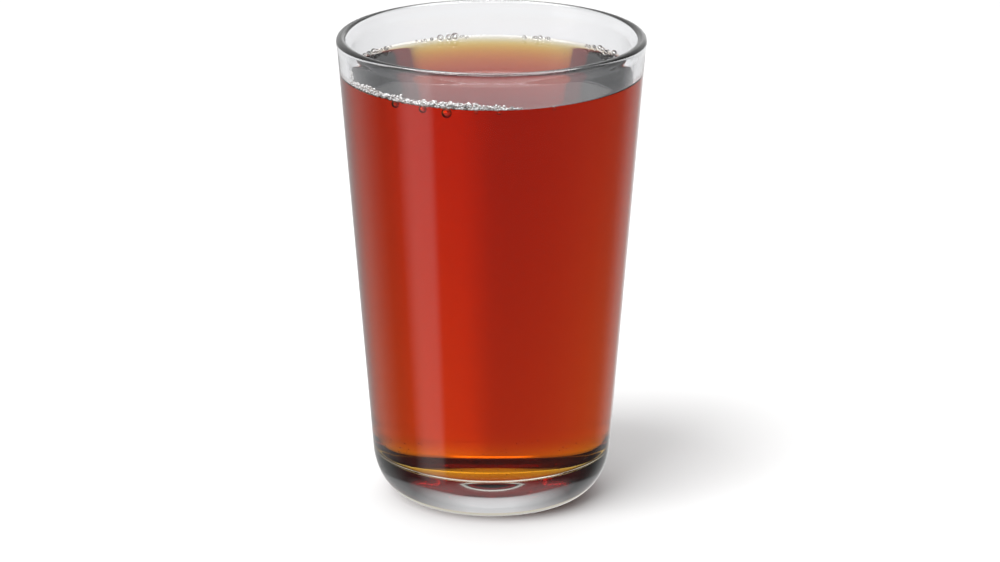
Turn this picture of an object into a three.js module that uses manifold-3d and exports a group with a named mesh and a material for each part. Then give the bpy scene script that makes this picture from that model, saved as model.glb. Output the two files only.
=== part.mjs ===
// A glass of black tea: a tapered tumbler with a heavy base and a rounded lip, and the tea that stands in it,
// with froth along the edge of its surface. Millimetres, +Z up. The origin is the middle of the foot, on the
// table. Angles round the glass start at its front (-Y) and grow towards its right (+X).
import * as THREE from 'three';
import { mergeVertices } from 'three/addons/utils/BufferGeometryUtils.js';
import Module from 'manifold-3d';

const wasm = await Module();
wasm.setup();

// Driving dimensions of the glass
const HEIGHT = 120.5;
const RIM_DIAMETER = 78;
const WALL_TAPER = THREE.MathUtils.degToRad(4.55);
const RIM_WALL = 2.27; // thickness of the wall just under the lip
const BASE_WALL = 3.0; // thickness of the wall extended down to the table
const LIP_RADIUS = 1.2; // half the thickness of the rounded lip
const LIP_BEAD = 0.12; // how far the lip stands out from the wall under it
const LIP_BLEND = 2.4; // height over which the lip runs out into the wall
const HEEL_HEIGHT = 12.4; // where the straight wall starts to curve in to the foot
const FOOT_RADIUS = 19.7; // outer edge of the ring that the glass stands on
const FOOT_RING_WIDTH = 3.4;
const PUNT_RISE = 0.4; // how far the underside is hollowed in its middle
const FLOOR_HEIGHT = 10.5; // height of the inner floor's middle over the table
const FLOOR_DISH = 0.5; // rise of the inner floor from its middle to its corner
const FLOOR_CORNER = 3.7; // radius of the corner between the inner floor and the wall

// Driving dimensions of the tea
const TEA_LEVEL = 110.7;
const MENISCUS_RISE = 0.9; // how far the tea climbs the wall
const CAPILLARY_LENGTH = 0.65; // distance over which that climb fades to a third
const MENISCUS_WIDTH = 4 * CAPILLARY_LENGTH; // distance after which the surface is flat
const GAP = 0.3; // clearance between the tea and the glass

// Froth: bubbles along the edge of the tea, by their angle round the glass in degrees
const FROTH_PATCHES = [
  { from: -90, to: -66, count: 5 },
  { from: -66, to: 9, count: 30 },
  { from: 9, to: 28, count: 3 },
  { from: 117, to: 136, count: 5 },
  { from: 154, to: 168, count: 4 },
  { from: -171, to: -149, count: 6 },
  { from: -133, to: -114, count: 5 },
];
const BUBBLE_RADIUS_MIN = 0.5;
const BUBBLE_RADIUS_MAX = 1.15;
const FROTH_WIDTH = 1.8; // how far in from the wall the bubbles lie
const BUBBLE_RAISED = 0.3; // height of a bubble's middle over the tea, as a share of its radius
const FROTH_SEED = 7;

// How finely round shapes are divided
const SIDES = 64;
const CURVE_STEPS = 6;
const MENISCUS_STEPS = 5;
const BUBBLE_SIDES = 8;
const BUBBLE_RINGS = 4;
const ROUND_PULL = 0.5523; // reach of a Bezier curve's handles, as a share of the radius, for a quarter circle

const taper = Math.tan(WALL_TAPER);
const lipCentreZ = HEIGHT - LIP_RADIUS;
const lipCentreRadius = RIM_DIAMETER / 2 - LIP_RADIUS;
const wallTopRadius = RIM_DIAMETER / 2 - LIP_BEAD;

function outerRadius(z) {
  return wallTopRadius - (lipCentreZ - z) * taper;
}

function innerRadius(z) {
  return outerRadius(z) - THREE.MathUtils.lerp(BASE_WALL, RIM_WALL, z / HEIGHT);
}

// Draws the hollow of the glass from the middle of its floor out to the wall, and stops at the height endZ.
// A clearance draws the surface of something that stands in it, that far from the glass.
function drawHollow(outline, endZ, clearance) {
  const floorZ = FLOOR_HEIGHT + clearance;
  const cornerTopZ = floorZ + FLOOR_DISH + FLOOR_CORNER;
  const cornerTopRadius = innerRadius(cornerTopZ) - clearance;
  const floorRadius = cornerTopRadius - FLOOR_CORNER;
  const floorEdgeZ = floorZ + FLOOR_DISH;
  const pull = ROUND_PULL * FLOOR_CORNER;
  outline.moveTo(0, floorZ);
  outline.quadraticCurveTo(floorRadius / 2, floorZ, floorRadius, floorEdgeZ);
  outline.bezierCurveTo(
    floorRadius + pull, floorEdgeZ + (pull * 2 * FLOOR_DISH) / floorRadius,
    cornerTopRadius - pull * taper, cornerTopZ - pull,
    cornerTopRadius, cornerTopZ,
  );
  outline.lineTo(innerRadius(endZ) - clearance, endZ);
}

// Turns points of (radius, height) about the vertical axis. They run from the bottom of a piece to its top.
function turned(points) {
  return new THREE.LatheGeometry(points, SIDES).rotateX(Math.PI / 2);
}

function glassGeometry() {
  const outline = new THREE.Path();
  const lipEndZ = lipCentreZ - LIP_BLEND;
  drawHollow(outline, lipEndZ, 0);
  outline.absarc(lipCentreRadius, lipCentreZ, LIP_RADIUS, Math.PI, 0, true);
  outline.lineTo(outerRadius(lipEndZ), lipEndZ);
  const heelRadius = outerRadius(HEEL_HEIGHT);
  const heelPull = ROUND_PULL * HEEL_HEIGHT;
  const footPull = ROUND_PULL * (heelRadius - FOOT_RADIUS);
  outline.lineTo(heelRadius, HEEL_HEIGHT);
  outline.bezierCurveTo(
    heelRadius - heelPull * taper, HEEL_HEIGHT - heelPull,
    FOOT_RADIUS + footPull, 0,
    FOOT_RADIUS, 0,
  );
  const puntRadius = FOOT_RADIUS - FOOT_RING_WIDTH;
  outline.lineTo(puntRadius, 0);
  outline.quadraticCurveTo(puntRadius / 2, PUNT_RISE, 0, PUNT_RISE);
  return turned(outline.getPoints(CURVE_STEPS).reverse());
}

const teaEdgeZ = TEA_LEVEL + MENISCUS_RISE;
const teaEdgeRadius = innerRadius(teaEdgeZ) - GAP;

// Height of the tea's surface at a distance from the axis.
function teaSurface(radius) {
  return TEA_LEVEL + MENISCUS_RISE * Math.exp((radius - teaEdgeRadius) / CAPILLARY_LENGTH);
}

function teaGeometry() {
  const outline = new THREE.Path();
  drawHollow(outline, teaEdgeZ, GAP);
  for (let step = 1; step <= MENISCUS_STEPS; step += 1) {
    const radius = teaEdgeRadius - (step / MENISCUS_STEPS) ** 2 * MENISCUS_WIDTH;
    outline.lineTo(radius, teaSurface(radius));
  }
  outline.lineTo(0, TEA_LEVEL);
  return turned(outline.getPoints(CURVE_STEPS));
}

// Froth: one sphere for each bubble, sunk a little into the tea beside the wall.
function bubbleGeometries() {
  THREE.MathUtils.seededRandom(FROTH_SEED);
  const random = () => THREE.MathUtils.seededRandom();
  return FROTH_PATCHES.flatMap(({ from, to, count }) => Array.from({ length: count }, (_, index) => {
    const angle = THREE.MathUtils.degToRad(THREE.MathUtils.lerp(from, to, (index + random()) / count));
    const size = THREE.MathUtils.lerp(BUBBLE_RADIUS_MIN, BUBBLE_RADIUS_MAX, random() ** 2);
    const radius = teaEdgeRadius - size - random() * FROTH_WIDTH;
    const height = teaSurface(radius) + BUBBLE_RAISED * size;
    const bubble = new THREE.SphereGeometry(size, BUBBLE_SIDES, BUBBLE_RINGS).rotateX(Math.PI / 2);
    return bubble.translate(radius * Math.sin(angle), -radius * Math.cos(angle), height);
  }));
}

function toSolid(geometry) {
  const bare = geometry.clone();
  bare.deleteAttribute('normal');
  bare.deleteAttribute('uv');
  const merged = mergeVertices(bare);
  const mesh = new wasm.Mesh({
    numProp: 3,
    vertProperties: new Float32Array(merged.attributes.position.array),
    triVerts: new Uint32Array(merged.index.array),
  });
  return new wasm.Manifold(mesh);
}

function toGeometry(solid) {
  const { vertProperties, triVerts } = solid.getMesh();
  const geometry = new THREE.BufferGeometry();
  geometry.setAttribute('position', new THREE.BufferAttribute(vertProperties, 3));
  geometry.setIndex(new THREE.BufferAttribute(triVerts, 1));
  geometry.computeVertexNormals();
  return geometry;
}

function frothyTeaGeometry() {
  const tea = toSolid(teaGeometry());
  return toGeometry(bubbleGeometries().reduce((solid, bubble) => solid.add(toSolid(bubble)), tea));
}

function piece(name, geometry, looks) {
  const mesh = new THREE.Mesh(geometry, new THREE.MeshStandardMaterial(looks));
  mesh.name = name;
  return mesh;
}

const glassOfTea = new THREE.Group();
glassOfTea.add(
  piece('glass', glassGeometry(), {
    color: 0xe6eaea, roughness: 0.03, metalness: 0, transparent: true, opacity: 0.3,
  }),
  piece('tea', frothyTeaGeometry(), { color: 0xa2301a, roughness: 0.05, metalness: 0 }),
);

export default glassOfTea;
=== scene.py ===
import math
import random
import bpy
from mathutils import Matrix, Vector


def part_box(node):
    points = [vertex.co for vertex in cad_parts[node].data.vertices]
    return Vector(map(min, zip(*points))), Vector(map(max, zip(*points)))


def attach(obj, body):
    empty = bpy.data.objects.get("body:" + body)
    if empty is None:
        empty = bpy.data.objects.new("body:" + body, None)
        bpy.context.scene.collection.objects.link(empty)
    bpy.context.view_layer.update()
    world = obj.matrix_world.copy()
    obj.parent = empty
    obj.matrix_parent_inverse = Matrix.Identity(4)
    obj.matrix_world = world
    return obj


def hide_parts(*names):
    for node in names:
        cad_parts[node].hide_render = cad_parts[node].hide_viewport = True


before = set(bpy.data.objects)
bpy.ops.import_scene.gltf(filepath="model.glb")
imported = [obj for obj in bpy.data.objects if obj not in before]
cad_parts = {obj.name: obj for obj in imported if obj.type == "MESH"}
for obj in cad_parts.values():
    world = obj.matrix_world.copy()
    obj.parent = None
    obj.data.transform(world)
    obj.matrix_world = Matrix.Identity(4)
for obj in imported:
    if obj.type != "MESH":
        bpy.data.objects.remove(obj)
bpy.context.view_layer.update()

from types import SimpleNamespace

import bmesh
import bpy
import numpy
from bpy.props import FloatProperty, FloatVectorProperty, IntProperty, PointerProperty
from mathutils import Vector
from mathutils.geometry import interpolate_bezier

bl_info = {
    "name": "Glass of Tea",
    "version": (1, 0, 0),
    "blender": (4, 5, 0),
    "location": "3D View > Sidebar > Tea",
    "description": "Builds a tumbler of black tea around its packed solids, with a plain studio",
    "category": "Object",
}

GLASS_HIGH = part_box("glass")[1]

# How finely round shapes are divided
SIDES = 256
FLOOR_SIDES = 96
CURVE_STEPS = 24
WALL_STEPS = 40
FINE_FROTH_SPLITS = 2  # how often the faces of a ball are split
BUBBLE_SPLITS = 3
SUNK_BUBBLE_SPLITS = 4
GRAIN_SPLITS = 1
SHARP_ANGLE = math.radians(35)
ROUND_PULL = 0.5523  # reach of a curve's handles, as a share of the radius, for a quarter circle
MENISCUS_REACH = 6  # capillary lengths from the wall to where the tea's surface counts as flat
WELD = 1e-7

# How strongly the clear materials bend light
GLASS_INDEX = 1.5
TEA_INDEX = 1.333
UNBENT = 1.0
BEND_LAYER = "light_bend"

# Fine patterns: noise scale over metres, and the roughness between which the finishes vary
GLASS_WAVES = 60.0
GLASS_WAVE_STRENGTH = 0.05
GLASS_WAVE_DEPTH = 0.0002
FROTH_SPOTS = 2000.0
FROTH_ROUGHNESS = (0.0, 0.12)
LEAF_SPOTS = 2500.0
LEAF_ROUGHNESS = (0.3, 0.6)
FLOOR_SPOTS = 5.0
FLOOR_ROUGHNESS = (0.85, 0.95)
FLOOR_UNEVEN = 0.99  # darkest part of the floor, as a share of its colour
NOISE_DETAIL = 2.0
COLOUR_NOISE = (0.4, 0.6)  # values of the noise that give the dark and the light colour
ROUGHNESS_NOISE = (0.3, 0.7)  # values of the noise that give the least and the most roughness

# Bubbles along the edge of the tea: degrees round from the front towards the right, how many, metres
FINE_FROTH = (
    dict(start=-88, end=-66, count=60, smallest=0.00014, largest=0.0003, width=0.0008, stack=0.0004),
    dict(start=-66, end=-40, count=420, smallest=0.00016, largest=0.00042, width=0.0024, stack=0.0009),
    dict(start=-40, end=-30, count=150, smallest=0.00016, largest=0.00040, width=0.0018, stack=0.0007),
    dict(start=-30, end=-4, count=460, smallest=0.00016, largest=0.00045, width=0.0028, stack=0.0011),
    dict(start=-4, end=5, count=110, smallest=0.00014, largest=0.0004, width=0.0020, stack=0.0007),
    dict(start=5, end=12, count=40, smallest=0.00014, largest=0.0003, width=0.0012, stack=0.0003),
)
BUBBLES = (
    dict(start=-66, end=9, count=16, smallest=0.0004, largest=0.0007, width=0.0010, stack=0.0),
    dict(start=117, end=136, count=14, smallest=0.0003, largest=0.0008, width=0.0010, stack=0.0003),
    dict(start=154, end=168, count=7, smallest=0.0004, largest=0.0009, width=0.0010, stack=0.0001),
    dict(start=-171, end=-166, count=4, smallest=0.0003, largest=0.0006, width=0.0008, stack=0.0001),
    dict(start=-166, end=-156, count=3, smallest=0.0009, largest=0.0011, width=0.0003, stack=0.0),
    dict(start=-156, end=-147, count=5, smallest=0.0003, largest=0.0006, width=0.0008, stack=0.0001),
    dict(start=-133, end=-114, count=14, smallest=0.0003, largest=0.0008, width=0.0010, stack=0.0003),
)

# Bubbles that hang in the tea under the front of its edge: degrees round and radius in metres
SUNK_BUBBLES = ((-41, 0.0010), (-28, 0.0010), (-18, 0.0013), (-6, 0.0005), (3, 0.0006), (25, 0.0005))
SUNK_DEPTH = 0.0001  # from the edge of the tea down to their tops
SUNK_GAP = 0.0001  # from the wall to their sides

# Grains of leaf on the floor of the glass, and specks of it that float
GRAIN_SIZES = (0.3, 1.0)  # shares of the largest grain's size
SPECK_SIZES = (0.4, 0.9)
SPECK_HEIGHTS = (0.2, 0.9)  # shares of the tea's level
SPECK_GAPS = (2.0, 10.0)  # from the wall to a speck's middle, in radii of the speck

# Panels of light: degrees round from the left towards the camera and up from level, metres, brightness
STUDIO_LIGHTS = {
    "overhead": dict(side=90, rise=88, distance=2.4, size=(2.4, 2.4), brightness=2.3),
    "key": dict(side=48, rise=64, distance=2.0, size=(1.0, 1.0), brightness=11.5),
}

# The studio that the glass mirrors and refracts. Heights say how far up a direction points, from -1 to 1.
# Turns are degrees round from straight behind the glass. A part fades between the two numbers of a pair.
BACKDROP = (  # brightness by turns towards the right
    (-95, 0.0), (-57, 0.78), (-25, 0.91), (-3, 0.92), (0, 0.96), (5.5, 1.34), (16, 1.30), (25, 0.90),
    (42, 0.74), (59, 0.28), (95, 0.0),
)
BACKDROP_TOP_HEIGHTS = (-0.2, -0.12)
BACKDROP_MIRRORED_HEIGHTS = (-0.2, 0.15)
CORNER_HEIGHTS = (0.15, 0.3)
CORNER_TURNS = (8.0, 36.0)
CORNER_DARKNESS = 0.8
SHADED_HEIGHTS = (-0.6, -0.4)
HORIZON_HEIGHTS = ((-0.19, -0.165), (0.0, 0.08))
HORIZON_TURNS = (6.0, 14.0)
FRONT_TURNS = (75.0, 95.0)
SOFTBOX_SIDES = ((4.0, 25.0), (38.0, 48.0))  # degrees round from the left towards the camera
CEILING_HEIGHTS = ((0.8, 0.86), (0.95, 0.985))
TABLE_HEIGHTS = (-0.7, -0.46)
TABLE_TURNS = (60.0, 120.0)
UNLIMITED = 2.0  # brighter than any stop of the backdrop

# Limits on how many clear surfaces a ray has passed and how often it was mirrored, between whole numbers
SINGLE_WALL = 2.5  # fewer surfaces: it went through one wall
WHOLE_GLASS = 4.5  # more surfaces: it went on through the tea and the far wall
MIRRORED_ONCE = 0.5  # more: it was mirrored at least once

# The picture that the camera frames, in pixels
PICTURE_WIDTH = 1000
PICTURE_HEIGHT = 562
AXIS_PIXEL_X = 491.5
TARGET_PIXEL_Y = 271.6

SENSOR_WIDTH = 36.0  # millimetres
CAMERA_REACH = 20.0  # metres
FLOOR_GAP = 0.0001  # from the foot down to the floor


def length(name, description, default):
    """A size in metres."""
    return FloatProperty(name=name, description=description, default=default, unit="LENGTH", precision=5)


def angle(name, description, degrees):
    """An angle, given in degrees."""
    default = math.radians(degrees)
    return FloatProperty(name=name, description=description, default=default, subtype="ANGLE")


def amount(name, description, default):
    """A plain number from nothing up."""
    return FloatProperty(name=name, description=description, default=default, min=0.0)


def count(name, description, default):
    """A whole number from nothing up."""
    return IntProperty(name=name, description=description, default=default, min=0)


def colour(name, description, default):
    """A linear colour."""
    return FloatVectorProperty(
        name=name, description=description, default=default, size=3, subtype="COLOR", min=0.0, max=1.0
    )


class TumblerSettings(bpy.types.PropertyGroup):
    """Sizes and colour of the glass."""

    height: length("Height", "From the table to the top of the lip", GLASS_HIGH.z)
    rim_radius: length("Rim radius", "To the outside of the lip", GLASS_HIGH.x)
    taper: angle("Taper", "Slope of the wall from upright", 4.55)
    rim_wall: length("Wall at the rim", "Thickness just under the lip", 0.00227)
    base_wall: length("Wall at the base", "Thickness of the wall extended to the table", 0.0030)
    lip_radius: length("Lip radius", "Half the thickness of the rounded lip", 0.0012)
    lip_bead: length("Lip bead", "How far the lip stands out from the wall", 0.00012)
    lip_blend: length("Lip blend", "Height over which the lip runs out into the wall", 0.0024)
    heel_height: length("Heel height", "Where the wall starts to curve in", 0.0124)
    foot_radius: length("Foot radius", "Outer edge of the foot ring", 0.0197)
    foot_ring: length("Foot ring", "Width of the ring that the glass stands on", 0.0034)
    punt_rise: length("Punt rise", "Hollow in the middle of the underside", 0.0004)
    floor_height: length("Floor height", "From the table to the middle of the inner floor", 0.0105)
    floor_dish: length("Floor dish", "Rise of the inner floor to its corner", 0.0005)
    corner: length("Corner", "Radius of the corner between the inner floor and the wall", 0.0037)
    tint: colour("Tint", "Colour of the clear glass", (0.955, 0.96, 0.975))
    wet_tint: colour("Wet tint", "Colour of the glass where the tea wets it", (1.0, 1.0, 1.0))


class TeaSettings(bpy.types.PropertyGroup):
    """Sizes and colour of the tea."""

    level: length("Level", "Height of the flat surface", 0.1107)
    meniscus_rise: length("Meniscus", "How far the tea climbs the wall", 0.0009)
    front_drop: amount("Front drop", "Share of that climb that is missing at the front", 0.75)
    capillary: length("Capillary length", "Distance over which the climb fades", 0.00065)
    overlap: length("Overlap", "How far the tea reaches into the wall", 0.0001)
    let_through: colour("Lets through", "Colour of the light that isn't absorbed", (0.9503, 0.7683, 0.10))
    strength: amount("Strength", "How fast light is absorbed, per metre", 300.0)


class FrothSettings(bpy.types.PropertyGroup):
    """Bubbles at the edge of the tea and grains of leaf on the floor of the glass."""

    film: amount("Film", "Thickness of a clear bubble's skin, as a share of its radius", 0.55)
    raised: amount("Raised", "Height of a bubble's middle over the tea, as a share of its radius", 0.7)
    whiteness: amount("Whiteness", "Share of light that the fine froth scatters", 0.92)
    froth_dark: colour("Froth, dark", "Darkest fine froth", (0.34, 0.29, 0.26))
    froth_light: colour("Froth, light", "Lightest fine froth", (1.0, 1.0, 1.0))
    bubble_dark: colour("Bubbles, dark", "Darkest clear bubbles", (0.94, 0.94, 0.94))
    bubble_light: colour("Bubbles, light", "Lightest clear bubbles", (1.0, 1.0, 1.0))
    grains: count("Grains", "Grains of leaf on the floor of the glass", 160)
    specks: count("Specks", "Grains of leaf that float in the tea", 12)
    grain_size: length("Grain size", "Radius of the largest grain", 0.00013)
    leaf_dark: colour("Leaf, dark", "Darkest grains of leaf", (0.012, 0.004, 0.002))
    leaf_light: colour("Leaf, light", "Lightest grains of leaf", (0.09, 0.03, 0.01))
    seed: count("Seed", "Start of the random draws", 7)


class StageSettings(bpy.types.PropertyGroup):
    """Camera, light and floor."""

    distance: length("Camera distance", "From the camera to its target", 1.170)
    elevation: angle("Camera elevation", "Height of the camera over the horizontal", 17.09)
    target_height: length("Target height", "Point on the axis that the camera looks at", 0.0585)
    pixels_per_metre: amount("Scale", "Pixels for a metre at the target", 3925.0)
    floor_colour: colour("Floor", "Colour of the floor", (0.70, 0.70, 0.70))
    floor_radius: length("Floor radius", "Size of the round floor", 0.75)
    backdrop_top: amount("Backdrop, top", "Most of its brightness that is left above the horizon", 0.66)
    backdrop_plain: amount("Backdrop, plain", "Most of its brightness that shows through one wall", 0.96)
    backdrop_mirrored: amount("Backdrop, mirrored", "Share of its low part's light in reflections", 0.66)
    shaded: amount("Shaded", "Brightness of the table under the glass, through the glass", 0.8)
    horizon: amount("Horizon", "How much brighter the backdrop's foot is, through the glass", 2.4)
    front: amount("Front", "Brightness of the front of the studio, through the glass", 0.6)
    softbox: amount("Softbox", "Brightness of the tall softbox at the left", 1.07)
    ceiling: amount("Ceiling", "Brightness of the ceiling, in reflections", 8.0)
    table: amount("Table", "Brightness of the table in front of the glass, in reflections", 1.7)
    darkest: amount("Darkest", "Brightness of what is left of the studio", 0.15)


# Outlines of (radius, height), turned about the vertical axis


def point(radius, height):
    """A point of an outline."""
    return Vector((radius, 0.0, height))


def curve(start, start_handle, end_handle, end):
    """Points along a smooth curve with two handles, both ends included."""
    return interpolate_bezier(start, start_handle, end_handle, end, CURVE_STEPS)


def straight(start, end):
    """Points between two ends, closest together near the ends so that the wall's shading stays true."""
    shares = [(1 - math.cos(math.pi * step / WALL_STEPS)) / 2 for step in range(1, WALL_STEPS)]
    return [start.lerp(end, share) for share in shares]


def outer_radius(tumbler, z):
    """Outside of the straight wall, or of its line carried on, at a height."""
    lip_middle = tumbler.height - tumbler.lip_radius
    return tumbler.rim_radius - tumbler.lip_bead - (lip_middle - z) * math.tan(tumbler.taper)


def inner_radius(tumbler, z):
    """Inside of the straight wall, which thickens downwards, at a height."""
    wall = tumbler.base_wall + (tumbler.rim_wall - tumbler.base_wall) * z / tumbler.height
    return outer_radius(tumbler, z) - wall


def hollow_outline(tumbler, end_z, reach):
    """The inside of the glass from the middle of its floor up to end_z, moved into the glass by reach."""
    floor_z = tumbler.floor_height - reach
    edge_z = floor_z + tumbler.floor_dish
    top_z = edge_z + tumbler.corner
    top_radius = inner_radius(tumbler, top_z) + reach
    floor_radius = top_radius - tumbler.corner
    pull = ROUND_PULL * tumbler.corner
    slope = 2 * tumbler.floor_dish / floor_radius
    dish = curve(
        point(0, floor_z),
        point(floor_radius / 3, floor_z),
        point(floor_radius * 2 / 3, edge_z - slope * floor_radius / 3),
        point(floor_radius, edge_z),
    )
    corner = curve(
        point(floor_radius, edge_z),
        point(floor_radius + pull, edge_z + pull * slope),
        point(top_radius - pull * math.tan(tumbler.taper), top_z - pull),
        point(top_radius, top_z),
    )
    end = point(inner_radius(tumbler, end_z) + reach, end_z)
    return dish + corner[1:] + straight(corner[-1], end) + [end]


def lip_outline(tumbler):
    """The rounded lip from the inside of the wall over the top to its outside, with a low bead."""
    middle = point(tumbler.rim_radius - tumbler.lip_radius, tumbler.height - tumbler.lip_radius)
    turns = [math.pi * (1 - step / CURVE_STEPS) for step in range(CURVE_STEPS + 1)]
    arc = [middle + tumbler.lip_radius * point(math.cos(turn), math.sin(turn)) for turn in turns]
    end_z = middle.z - tumbler.lip_blend
    inside = point(inner_radius(tumbler, end_z), end_z)
    outside = point(outer_radius(tumbler, end_z), end_z)
    pull = tumbler.lip_blend / 3
    along_wall = pull * point(math.tan(tumbler.taper), 1)
    rise = curve(inside, inside + along_wall, arc[0] - point(0, pull), arc[0])
    fall = curve(arc[-1], arc[-1] - point(0, pull), outside + along_wall, outside)
    return rise + arc[1:-1] + fall


def foot_outline(tumbler):
    """The outside from the top of the heel over the foot ring to the middle of the underside."""
    top_radius = outer_radius(tumbler, tumbler.heel_height)
    pull_down = ROUND_PULL * tumbler.heel_height
    pull_out = ROUND_PULL * (top_radius - tumbler.foot_radius)
    punt_radius = tumbler.foot_radius - tumbler.foot_ring
    heel = curve(
        point(top_radius, tumbler.heel_height),
        point(top_radius - pull_down * math.tan(tumbler.taper), tumbler.heel_height - pull_down),
        point(tumbler.foot_radius + pull_out, 0),
        point(tumbler.foot_radius, 0),
    )
    punt = curve(
        point(punt_radius, 0),
        point(punt_radius * 2 / 3, tumbler.punt_rise * 2 / 3),
        point(punt_radius / 3, tumbler.punt_rise),
        point(0, tumbler.punt_rise),
    )
    return heel + punt


def tea_edge(tumbler, tea):
    """Height and radius of the line where the tea meets the wall, away from the front."""
    height = tea.level + tea.meniscus_rise
    return height, inner_radius(tumbler, height)


def climb(tea, turn):
    """How far the tea climbs the wall at an angle round the glass that starts at the front."""
    return tea.meniscus_rise * (1 - tea.front_drop * max(0.0, math.cos(turn)) ** 2)


def tea_height(tumbler, tea, radius, turn):
    """Height of the tea's surface at a distance from the axis and an angle round it."""
    edge_radius = tea_edge(tumbler, tea)[1]
    return tea.level + climb(tea, turn) * math.exp((radius - edge_radius) / tea.capillary)


def tea_top_outline(tumbler, tea):
    """The tea's surface from just inside the wall to the axis, with the full climb of the back."""
    edge_radius = tea_edge(tumbler, tea)[1]
    reach = MENISCUS_REACH * tea.capillary
    radii = [edge_radius - reach * (step / CURVE_STEPS) ** 2 for step in range(1, CURVE_STEPS + 1)]
    meniscus = [point(radius, tea_height(tumbler, tea, radius, math.pi)) for radius in radii]
    return meniscus + [point(0, tea.level)]


# Making pieces


def turned(outline):
    """A closed bmesh made by turning an outline about the vertical axis."""
    bm = bmesh.new()
    verts = [bm.verts.new(co) for co in outline]
    edges = [bm.edges.new(pair) for pair in zip(verts, verts[1:])]
    bmesh.ops.spin(
        bm,
        geom=verts + edges,
        cent=(0, 0, 0),
        axis=(0, 0, 1),
        dvec=(0, 0, 0),
        angle=2 * math.pi,
        steps=SIDES,
        use_merge=True,
    )
    bmesh.ops.remove_doubles(bm, verts=bm.verts, dist=WELD)
    bmesh.ops.recalc_face_normals(bm, faces=bm.faces)
    return bm


def settle_edge(tumbler, tea, verts):
    """Lets the edge of the tea down the wall to the height that it has at each angle round the glass."""
    for vert in verts:
        share_left = climb(tea, math.atan2(vert.co.x, -vert.co.y)) / tea.meniscus_rise
        settled = tea.level + (vert.co.z - tea.level) * share_left
        vert.co.xy *= inner_radius(tumbler, settled) / inner_radius(tumbler, vert.co.z)
        vert.co.z = settled


def around_axis(turn, radius, height):
    """A point at an angle round the glass, which starts at the front and grows towards the right."""
    return Vector((radius * math.sin(turn), -radius * math.cos(turn), height))


def edge_bubbles(draw, tumbler, tea, froth, patch):
    """Middles and radii of one patch of bubbles that lie on the tea beside the wall."""
    bubbles = []
    edge_radius = tea_edge(tumbler, tea)[1]
    span = math.radians(patch["end"] - patch["start"])
    for step in range(patch["count"]):
        turn = math.radians(patch["start"]) + span * (step + draw.random()) / patch["count"]
        size = patch["smallest"] + (patch["largest"] - patch["smallest"]) * draw.random() ** 2
        radius = edge_radius - size - patch["width"] * draw.random() ** 2
        raised = froth.raised * size + patch["stack"] * draw.random() ** 2
        height = tea_height(tumbler, tea, radius, turn) + raised
        radius = min(radius, inner_radius(tumbler, height) - size)
        bubbles.append((around_axis(turn, radius, height), size))
    return bubbles


def ball_shape(splits):
    """Corners and faces of a ball of radius one."""
    bm = bmesh.new()
    bmesh.ops.create_icosphere(bm, subdivisions=splits, radius=1.0)
    bm.verts.index_update()
    corners = numpy.array([vert.co for vert in bm.verts])
    faces = numpy.array([[vert.index for vert in face.verts] for face in bm.faces])
    bm.free()
    return corners, faces


def add_balls(bm, balls, splits, inside_out=False):
    """Adds balls, given by their middles and radii, with their faces turned in where they are hollows."""
    corners, faces = ball_shape(splits)
    if inside_out:
        faces = faces[:, ::-1]
    all_corners = [corners * size + numpy.array(middle) for middle, size in balls]
    all_faces = [faces + len(corners) * index for index in range(len(balls))]
    mesh = bpy.data.meshes.new("balls")
    mesh.from_pydata(numpy.concatenate(all_corners), [], numpy.concatenate(all_faces))
    bm.from_mesh(mesh)
    bpy.data.meshes.remove(mesh)


def to_mesh(name, bm):
    """A mesh made from a bmesh, which is then done with."""
    mesh = bpy.data.meshes.new(name)
    bm.to_mesh(mesh)
    bm.free()
    return mesh


def add_piece(name, bm, materials):
    """Turns a bmesh into a smooth object that rides on the one body."""
    mesh = to_mesh(name, bm)
    mesh.shade_smooth()
    mesh.set_sharp_from_angle(angle=SHARP_ANGLE)
    for material in materials:
        mesh.materials.append(material)
    piece = bpy.data.objects.new(name, mesh)
    bpy.context.scene.collection.objects.link(piece)
    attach(piece, "root")
    return piece


# Nodes


def feed(tree, socket, value):
    """Gives a socket a number or a colour, or links another socket to it."""
    if isinstance(value, bpy.types.NodeSocket):
        tree.links.new(value, socket)
    else:
        socket.default_value = value


def set_inputs(tree, node, **values):
    """Feeds a node's inputs by their names, which have underscores for spaces here."""
    for name, value in values.items():
        feed(tree, node.inputs[name.replace("_", " ")], value)


def map_range(tree, value, from_range, to_range, smooth=False):
    """A value moved from one range to another, held at its ends."""
    node = tree.nodes.new("ShaderNodeMapRange")
    node.interpolation_type = "SMOOTHSTEP" if smooth else "LINEAR"
    set_inputs(tree, node, Value=value, From_Min=from_range[0], From_Max=from_range[1])
    set_inputs(tree, node, To_Min=to_range[0], To_Max=to_range[1])
    return node.outputs["Result"]


def math_node(tree, operation, first, second=0.0):
    """Two values, or a value and a number, put together."""
    node = tree.nodes.new("ShaderNodeMath")
    node.operation = operation
    for socket, value in zip(node.inputs, (first, second)):
        feed(tree, socket, value)
    return node.outputs["Value"]


def product(tree, first, *others):
    """Values multiplied together."""
    for other in others:
        first = math_node(tree, "MULTIPLY", first, other)
    return first


def rest(tree, value):
    """What a share leaves of the whole."""
    return math_node(tree, "SUBTRACT", 1.0, value)


def band(tree, value, start, end):
    """One where a value lies in a band, and nothing outside it, with soft edges."""
    on = map_range(tree, value, start, (0.0, 1.0), smooth=True)
    off = map_range(tree, value, end, (1.0, 0.0), smooth=True)
    return product(tree, on, off)


def object_noise(tree, scale):
    """Noise over the piece's own coordinates."""
    place = tree.nodes.new("ShaderNodeTexCoord")
    noise = tree.nodes.new("ShaderNodeTexNoise")
    set_inputs(tree, noise, Vector=place.outputs["Object"], Scale=scale, Detail=NOISE_DETAIL)
    return noise.outputs["Fac"]


# Effects that more than one material uses


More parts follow.
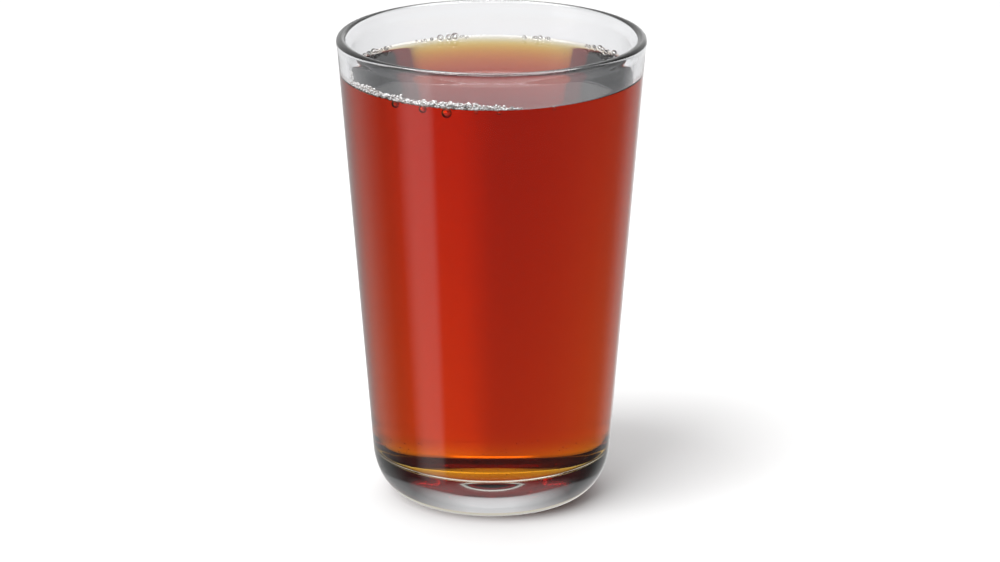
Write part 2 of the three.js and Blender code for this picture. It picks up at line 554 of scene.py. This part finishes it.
def new_group(name, inputs, outputs):
    """A node group with named sockets, what it is given and what it puts out."""
    group = bpy.data.node_groups.new(name, "ShaderNodeTree")
    for socket, kind in inputs.items():
        group.interface.new_socket(socket, in_out="INPUT", socket_type=kind)
    for socket, kind in outputs.items():
        group.interface.new_socket(socket, in_out="OUTPUT", socket_type=kind)
    given = group.nodes.new("NodeGroupInput").outputs
    result = group.nodes.new("NodeGroupOutput")
    return group, given, result


def waves_group(name):
    """The height of the faint waves in pressed glass."""
    group, given, result = new_group(name, {"Waves": "NodeSocketFloat"}, {"Height": "NodeSocketFloat"})
    set_inputs(group, result, Height=object_noise(group, given["Waves"]))
    return group


def mottle_group(name):
    """A fine noise that varies a colour and a roughness."""
    inputs = {
        "Spots": "NodeSocketFloat",
        "Dark": "NodeSocketColor",
        "Light": "NodeSocketColor",
        "Least": "NodeSocketFloat",
        "Most": "NodeSocketFloat",
    }
    outputs = {"Color": "NodeSocketColor", "Roughness": "NodeSocketFloat"}
    group, given, result = new_group(name, inputs, outputs)
    noise = object_noise(group, given["Spots"])
    lightness = map_range(group, noise, COLOUR_NOISE, (0.0, 1.0))
    mix = group.nodes.new("ShaderNodeMix")
    mix.data_type = "RGBA"
    set_inputs(group, mix, Factor=lightness, A=given["Dark"], B=given["Light"])
    roughness = map_range(group, noise, ROUGHNESS_NOISE, (given["Least"], given["Most"]))
    set_inputs(group, result, Color=mix.outputs["Result"], Roughness=roughness)
    return group


def place_group(tree, name, build, **values):
    """Puts a node group into a material with its own values, and builds it where it is the first."""
    node = tree.nodes.new("ShaderNodeGroup")
    node.node_tree = bpy.data.node_groups.get(name) or build(name)
    set_inputs(tree, node, **values)
    return node.outputs


def mottle(tree, shader, spots, dark, light, roughness):
    """Lets a fine noise vary the colour and the roughness of a material."""
    least, most = roughness
    tones = dict(Dark=(*dark, 1), Light=(*light, 1))
    varied = place_group(tree, "mottle", mottle_group, Spots=spots, Least=least, Most=most, **tones)
    set_inputs(tree, shader, Base_Color=varied["Color"], Roughness=varied["Roughness"])


# Materials


def new_material(name):
    """A node material with its tree, its Principled shader and its output."""
    material = bpy.data.materials.new(name)
    material.use_nodes = True
    tree = material.node_tree
    return material, tree, tree.nodes["Principled BSDF"], tree.nodes["Material Output"]


def glass_material(name, tint, index):
    """Clear pressed glass whose surface is very slightly wavy."""
    material, tree, shader, _ = new_material(name)
    set_inputs(tree, shader, Base_Color=(*tint, 1), Roughness=0.0, IOR=index, Transmission_Weight=1.0)
    waves = place_group(tree, "waves", waves_group, Waves=GLASS_WAVES)
    bump = tree.nodes.new("ShaderNodeBump")
    set_inputs(tree, bump, Strength=GLASS_WAVE_STRENGTH, Distance=GLASS_WAVE_DEPTH, Height=waves["Height"])
    set_inputs(tree, shader, Normal=bump.outputs["Normal"])
    return material


def tea_material(tea):
    """Clear black tea that takes up green and blue light on the way through.

    Its open surface bends light. Where it wets the glass, the wet wall of the glass does that for both.
    """
    material, tree, shader, output = new_material("black_tea")
    set_inputs(tree, shader, Base_Color=(1, 1, 1, 1), Roughness=0.0, IOR=TEA_INDEX, Transmission_Weight=1.0)
    bend = tree.nodes.new("ShaderNodeAttribute")
    bend.attribute_name = BEND_LAYER
    set_inputs(tree, shader, IOR=bend.outputs["Fac"])
    absorption = tree.nodes.new("ShaderNodeVolumeAbsorption")
    set_inputs(tree, absorption, Color=(*tea.let_through, 1), Density=tea.strength)
    set_inputs(tree, output, Volume=absorption.outputs["Volume"])
    return material


def bubble_material(name, whiteness, dark, light):
    """Clear or whitish bubbles, with a little difference from one to the next."""
    material, tree, shader, _ = new_material(name)
    set_inputs(tree, shader, IOR=TEA_INDEX, Transmission_Weight=1.0 - whiteness)
    mottle(tree, shader, FROTH_SPOTS, dark, light, FROTH_ROUGHNESS)
    return material


def leaf_material(dark, light):
    """Wet brown grains of tea leaf."""
    material, tree, shader, _ = new_material("leaf_grains")
    mottle(tree, shader, LEAF_SPOTS, dark, light, LEAF_ROUGHNESS)
    return material


def floor_material(light):
    """Matt paper with a faint unevenness."""
    material, tree, shader, _ = new_material("pale_floor")
    set_inputs(tree, shader, Specular_IOR_Level=0.0)
    dark = [FLOOR_UNEVEN * part for part in light]
    mottle(tree, shader, FLOOR_SPOTS, dark, light, FLOOR_ROUGHNESS)
    return material


# The studio round the glass, as brightness by the direction that a ray leaves in


def read_ray(tree):
    """Where a ray points, how it came there, and how often it was refracted and mirrored on its way."""
    place = tree.nodes.new("ShaderNodeTexCoord")
    path = tree.nodes.new("ShaderNodeLightPath").outputs
    split = tree.nodes.new("ShaderNodeSeparateXYZ")
    set_inputs(tree, split, Vector=place.outputs["Generated"])
    across, deep, up = split.outputs
    around = math_node(tree, "DEGREES", math_node(tree, "ARCTAN2", across, deep))
    mirrored = path["Is Reflection Ray"]
    return SimpleNamespace(
        up=up,
        around=around,
        away=math_node(tree, "ABSOLUTE", around),
        straight=path["Is Camera Ray"],
        refracted=path["Is Transmission Ray"],
        mirrored=mirrored,
        shining=product(tree, mirrored, path["Is Glossy Ray"]),
        surfaces=path["Transmission Depth"],
        mirrors=path["Glossy Depth"],
    )


def backdrop_ramp(tree, around):
    """Brightness of the backdrop over the degrees round the glass."""
    ramp = tree.nodes.new("ShaderNodeValToRGB")
    stops = ramp.color_ramp.elements
    stops.remove(stops[0])
    for degrees, bright in BACKDROP:
        stops.new(degrees / 360 + 0.5).color = (bright, bright, bright, 1)
    stops.remove(stops[-1])
    set_inputs(tree, ramp, Fac=map_range(tree, around, (-180.0, 180.0), (0.0, 1.0)))
    return ramp.outputs["Color"]


def backdrop_light(tree, ray, stage):
    """The backdrop, darker at its top, in its corners and under the glass, and bright at its foot."""
    top = map_range(tree, ray.up, BACKDROP_TOP_HEIGHTS, (UNLIMITED, stage.backdrop_top))
    top = math_node(tree, "MAXIMUM", top, product(tree, ray.mirrored, UNLIMITED))
    one_wall = product(tree, math_node(tree, "LESS_THAN", ray.surfaces, SINGLE_WALL), ray.refracted)
    plain = map_range(tree, one_wall, (0.0, 1.0), (UNLIMITED, stage.backdrop_plain))
    shaded = map_range(tree, ray.up, SHADED_HEIGHTS, (stage.shaded, UNLIMITED))
    light = backdrop_ramp(tree, ray.around)
    for limit in (top, plain, shaded):
        light = math_node(tree, "MINIMUM", light, limit)
    raised = map_range(tree, ray.up, CORNER_HEIGHTS, (0.0, 1.0))
    sideways = map_range(tree, ray.away, CORNER_TURNS, (0.0, CORNER_DARKNESS))
    corner = product(tree, raised, sideways, ray.refracted)
    middle = map_range(tree, ray.away, HORIZON_TURNS, (stage.horizon, 0.0), smooth=True)
    through_all = math_node(tree, "GREATER_THAN", ray.surfaces, WHOLE_GLASS)
    glow = product(tree, band(tree, ray.up, *HORIZON_HEIGHTS), middle, through_all)
    low = map_range(tree, ray.up, BACKDROP_MIRRORED_HEIGHTS, (1.0 - stage.backdrop_mirrored, 0.0))
    dimmed = product(tree, low, ray.mirrored)
    return product(tree, light, rest(tree, corner), math_node(tree, "ADD", glow, 1.0), rest(tree, dimmed))


def front_light(tree, ray, stage):
    """The front of the studio, through the glass."""
    return product(tree, map_range(tree, ray.away, FRONT_TURNS, (0.0, stage.front)), ray.refracted)


def softbox_light(tree, ray, stage):
    """The tall softbox at the left, in reflections off the glass and inside its near wall."""
    from_left = math_node(tree, "SUBTRACT", -90.0, ray.around)
    near = math_node(tree, "LESS_THAN", ray.surfaces, WHOLE_GLASS)
    inside = product(tree, near, math_node(tree, "GREATER_THAN", ray.mirrors, MIRRORED_ONCE))
    seen = math_node(tree, "MAXIMUM", ray.mirrored, inside)
    return product(tree, band(tree, from_left, *SOFTBOX_SIDES), seen, stage.softbox)


def ceiling_light(tree, ray, stage):
    """The bright ceiling, in reflections."""
    return product(tree, band(tree, ray.up, *CEILING_HEIGHTS), ray.shining, stage.ceiling)


def table_light(tree, ray, stage):
    """The table in front of the glass, in reflections."""
    low = map_range(tree, ray.up, TABLE_HEIGHTS, (stage.table, 0.0), smooth=True)
    return product(tree, low, map_range(tree, ray.away, TABLE_TURNS, (0.0, 1.0)), ray.shining)


class TEA_OT_tumbler(bpy.types.Operator):
    """Turn the clear glass tumbler"""

    bl_idname = "glass_of_tea.tumbler"
    bl_label = "Tumbler"

    def execute(self, context):
        tumbler = context.scene.tumbler
        tea = context.scene.tea
        edge_z = tea_edge(tumbler, tea)[0]
        wet = hollow_outline(tumbler, edge_z, 0)
        lip = lip_outline(tumbler)
        foot = foot_outline(tumbler)
        bm = turned(wet + straight(wet[-1], lip[0]) + lip + straight(lip[-1], foot[0]) + foot)
        # The wall widens upwards, so its inside faces up and its outside faces down.
        for face in bm.faces:
            face.material_index = int(face.normal.z > 0 and face.calc_center_median().z < edge_z)
        settle_edge(tumbler, tea, [vert for vert in bm.verts if self.is_edge(vert.co, tumbler, tea)])
        materials = [
            glass_material("clear_glass", tumbler.tint, GLASS_INDEX),
            glass_material("wet_glass", tumbler.wet_tint, GLASS_INDEX / TEA_INDEX),
        ]
        piece = add_piece("clear_tumbler", bm, materials)
        piece.visible_shadow = False
        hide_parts("glass")
        return {"FINISHED"}

    def is_edge(self, place, tumbler, tea):
        """Whether a point lies on the inside of the wall, where the tea climbs it."""
        on_inside = place.xy.length < outer_radius(tumbler, place.z) - WELD
        return on_inside and tea.level < place.z < tea_edge(tumbler, tea)[0] + WELD


class TEA_OT_tea(bpy.types.Operator):
    """Fill the glass with tea"""

    bl_idname = "glass_of_tea.tea"
    bl_label = "Tea"

    def execute(self, context):
        tumbler = context.scene.tumbler
        tea = context.scene.tea
        edge_z = tea_edge(tumbler, tea)[0]
        bm = turned(hollow_outline(tumbler, edge_z, tea.overlap) + tea_top_outline(tumbler, tea))
        bend = bm.faces.layers.float.new(BEND_LAYER)
        for face in bm.faces:
            face[bend] = TEA_INDEX if face.normal.z > 0 else UNBENT
        settle_edge(tumbler, tea, [vert for vert in bm.verts if vert.co.z > tea.level])
        add_balls(bm, self.sunk_bubbles(tumbler, tea), SUNK_BUBBLE_SPLITS, inside_out=True)
        # Only the faces of the bubbles have nothing in the layer yet.
        for face in bm.faces:
            if not face[bend]:
                face[bend] = TEA_INDEX
        piece = add_piece("black_tea", bm, [tea_material(tea)])
        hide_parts("tea")
        return {"FINISHED"}

    def sunk_bubbles(self, tumbler, tea):
        """Middles and radii of the bubbles that hang in the tea beside the wall."""
        bubbles = []
        for degrees, size in SUNK_BUBBLES:
            turn = math.radians(degrees)
            height = tea.level + climb(tea, turn) - size - SUNK_DEPTH
            radius = inner_radius(tumbler, height) - size - SUNK_GAP
            bubbles.append((around_axis(turn, radius, height), size))
        return bubbles


class TEA_OT_froth(bpy.types.Operator):
    """Lay froth and bubbles along the edge of the tea"""

    bl_idname = "glass_of_tea.froth"
    bl_label = "Froth"

    def execute(self, context):
        froth = context.scene.froth
        draw = random.Random(froth.seed)
        fine = self.lay_bubbles(context.scene, draw, FINE_FROTH)
        bm = bmesh.new()
        add_balls(bm, fine, FINE_FROTH_SPLITS)
        white = bubble_material("fine_froth", froth.whiteness, froth.froth_dark, froth.froth_light)
        piece = add_piece("fine_froth", bm, [white])
        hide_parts("tea")
        bubbles = self.lay_bubbles(context.scene, draw, BUBBLES)
        hollows = [(middle, size * (1 - froth.film)) for middle, size in bubbles]
        bm = bmesh.new()
        add_balls(bm, bubbles, BUBBLE_SPLITS)
        add_balls(bm, hollows, BUBBLE_SPLITS, inside_out=True)
        clear = bubble_material("bubbles", 0.0, froth.bubble_dark, froth.bubble_light)
        piece = add_piece("bubbles", bm, [clear])
        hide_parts("tea")
        return {"FINISHED"}

    def lay_bubbles(self, scene, draw, patches):
        """Middles and radii of the bubbles of several patches."""
        bubbles = []
        for patch in patches:
            bubbles += edge_bubbles(draw, scene.tumbler, scene.tea, scene.froth, patch)
        return bubbles


class TEA_OT_grains(bpy.types.Operator):
    """Scatter grains of leaf on the floor of the glass and in the tea"""

    bl_idname = "glass_of_tea.grains"
    bl_label = "Grains"

    def execute(self, context):
        tumbler = context.scene.tumbler
        froth = context.scene.froth
        draw = random.Random(froth.seed)
        grains = [self.grain(draw, tumbler, froth) for _ in range(froth.grains)]
        specks = [self.speck(draw, tumbler, context.scene.tea, froth) for _ in range(froth.specks)]
        bm = bmesh.new()
        add_balls(bm, grains + specks, GRAIN_SPLITS)
        add_piece("leaf_grains", bm, [leaf_material(froth.leaf_dark, froth.leaf_light)])
        return {"FINISHED"}

    def grain(self, draw, tumbler, froth):
        """Middle and radius of a grain that lies on the floor of the glass."""
        reach = inner_radius(tumbler, tumbler.floor_height) - tumbler.corner
        size = froth.grain_size * draw.uniform(*GRAIN_SIZES)
        radius = reach * math.sqrt(draw.random())
        height = tumbler.floor_height + tumbler.floor_dish * (radius / reach) ** 2 + size
        return around_axis(draw.uniform(-math.pi, math.pi), radius, height), size

    def speck(self, draw, tumbler, tea, froth):
        """Middle and radius of a grain that floats in the tea near the wall."""
        size = froth.grain_size * draw.uniform(*SPECK_SIZES)
        height = draw.uniform(*SPECK_HEIGHTS) * tea.level
        radius = inner_radius(tumbler, height) - draw.uniform(*SPECK_GAPS) * size
        return around_axis(draw.uniform(-math.pi, math.pi), radius, height), size


class TEA_OT_stage(bpy.types.Operator):
    """Set the floor, the light and the camera"""

    bl_idname = "glass_of_tea.stage"
    bl_label = "Stage"

    def execute(self, context):
        scene = context.scene
        stage = scene.stage
        scene.view_settings.view_transform = "Standard"
        self.add_floor(scene, stage)
        self.add_world(scene, stage)
        for name, light in STUDIO_LIGHTS.items():
            self.add_light(scene, name, **light)
        self.add_camera(scene, stage)
        return {"FINISHED"}

    def add_floor(self, scene, stage):
        """A round sheet of paper. The world stands for it in what the glass shows."""
        bm = bmesh.new()
        bmesh.ops.create_circle(bm, cap_ends=True, segments=FLOOR_SIDES, radius=stage.floor_radius)
        bmesh.ops.translate(bm, verts=bm.verts, vec=(0, 0, -FLOOR_GAP))
        mesh = to_mesh("floor", bm)
        mesh.materials.append(floor_material(stage.floor_colour))
        floor = bpy.data.objects.new("floor", mesh)
        scene.collection.objects.link(floor)
        floor.visible_glossy = False
        floor.visible_transmission = False

    def add_world(self, scene, stage):
        """A studio with a backdrop that fades to its sides, a tall softbox at the left and a dark front."""
        world = bpy.data.worlds.new("studio")
        world.use_nodes = True
        scene.world = world
        tree = world.node_tree
        ray = read_ray(tree)
        bright = math_node(tree, "MAXIMUM", ray.straight, stage.darkest)
        for part in (backdrop_light, front_light, softbox_light, ceiling_light, table_light):
            bright = math_node(tree, "MAXIMUM", bright, part(tree, ray, stage))
        set_inputs(tree, tree.nodes["Background"], Color=(1, 1, 1, 1), Strength=bright)

    def add_light(self, scene, name, side, rise, distance, size, brightness):
        """A flat panel of light that faces the glass. The world stands for it in what the glass shows."""
        data = bpy.data.lights.new(name, "AREA")
        data.shape = "RECTANGLE"
        data.size, data.size_y = size
        data.energy = brightness * math.pi * data.size * data.size_y
        panel = bpy.data.objects.new(name, data)
        turn = math.radians(side)
        tilt = math.radians(rise)
        level = math.cos(tilt)
        away = Vector((-math.cos(turn) * level, -math.sin(turn) * level, math.sin(tilt)))
        panel.location = away * distance
        panel.rotation_euler = away.to_track_quat("Z", "Y").to_euler()
        panel.visible_camera = False
        panel.visible_glossy = False
        panel.visible_transmission = False
        scene.collection.objects.link(panel)

    def add_camera(self, scene, stage):
        """A camera that sees the glass at the size and place that it has in the picture."""
        data = bpy.data.cameras.new("camera")
        data.sensor_width = SENSOR_WIDTH
        data.lens = stage.pixels_per_metre * stage.distance * SENSOR_WIDTH / PICTURE_WIDTH
        data.shift_x = (PICTURE_WIDTH / 2 - AXIS_PIXEL_X) / PICTURE_WIDTH
        data.shift_y = (TARGET_PIXEL_Y - PICTURE_HEIGHT / 2) / PICTURE_WIDTH
        data.clip_end = CAMERA_REACH
        camera = bpy.data.objects.new("camera", data)
        back = stage.distance * math.cos(stage.elevation)
        up = stage.distance * math.sin(stage.elevation)
        camera.location = (0, -back, stage.target_height + up)
        camera.rotation_euler = (math.pi / 2 - stage.elevation, 0, 0)
        scene.collection.objects.link(camera)
        scene.camera = camera


class TEA_PT_panel(bpy.types.Panel):
    """Lists what the glass of tea is made of"""

    bl_idname = "TEA_PT_panel"
    bl_label = "Glass of Tea"
    bl_space_type = "VIEW_3D"
    bl_region_type = "UI"
    bl_category = "Tea"

    def draw(self, context):
        for operator in OPERATORS:
            self.layout.operator(operator.bl_idname)


SETTINGS = {
    "tumbler": TumblerSettings,
    "tea": TeaSettings,
    "froth": FrothSettings,
    "stage": StageSettings,
}
OPERATORS = (TEA_OT_tumbler, TEA_OT_tea, TEA_OT_froth, TEA_OT_grains, TEA_OT_stage)


def register():
    """Makes the settings, the operators and the panel known."""
    for name, settings in SETTINGS.items():
        bpy.utils.register_class(settings)
        setattr(bpy.types.Scene, name, PointerProperty(type=settings))
    for cls in (*OPERATORS, TEA_PT_panel):
        bpy.utils.register_class(cls)


def unregister():
    """Takes back what register made known."""
    for cls in reversed((*OPERATORS, TEA_PT_panel)):
        bpy.utils.unregister_class(cls)
    for name, settings in SETTINGS.items():
        delattr(bpy.types.Scene, name)
        bpy.utils.unregister_class(settings)


def main():
    """Builds the pieces and the stage."""
    register()
    bpy.ops.glass_of_tea.tumbler()
    bpy.ops.glass_of_tea.tea()
    bpy.ops.glass_of_tea.froth()
    bpy.ops.glass_of_tea.grains()
    bpy.ops.glass_of_tea.stage()


if __name__ == "__main__":
    main()
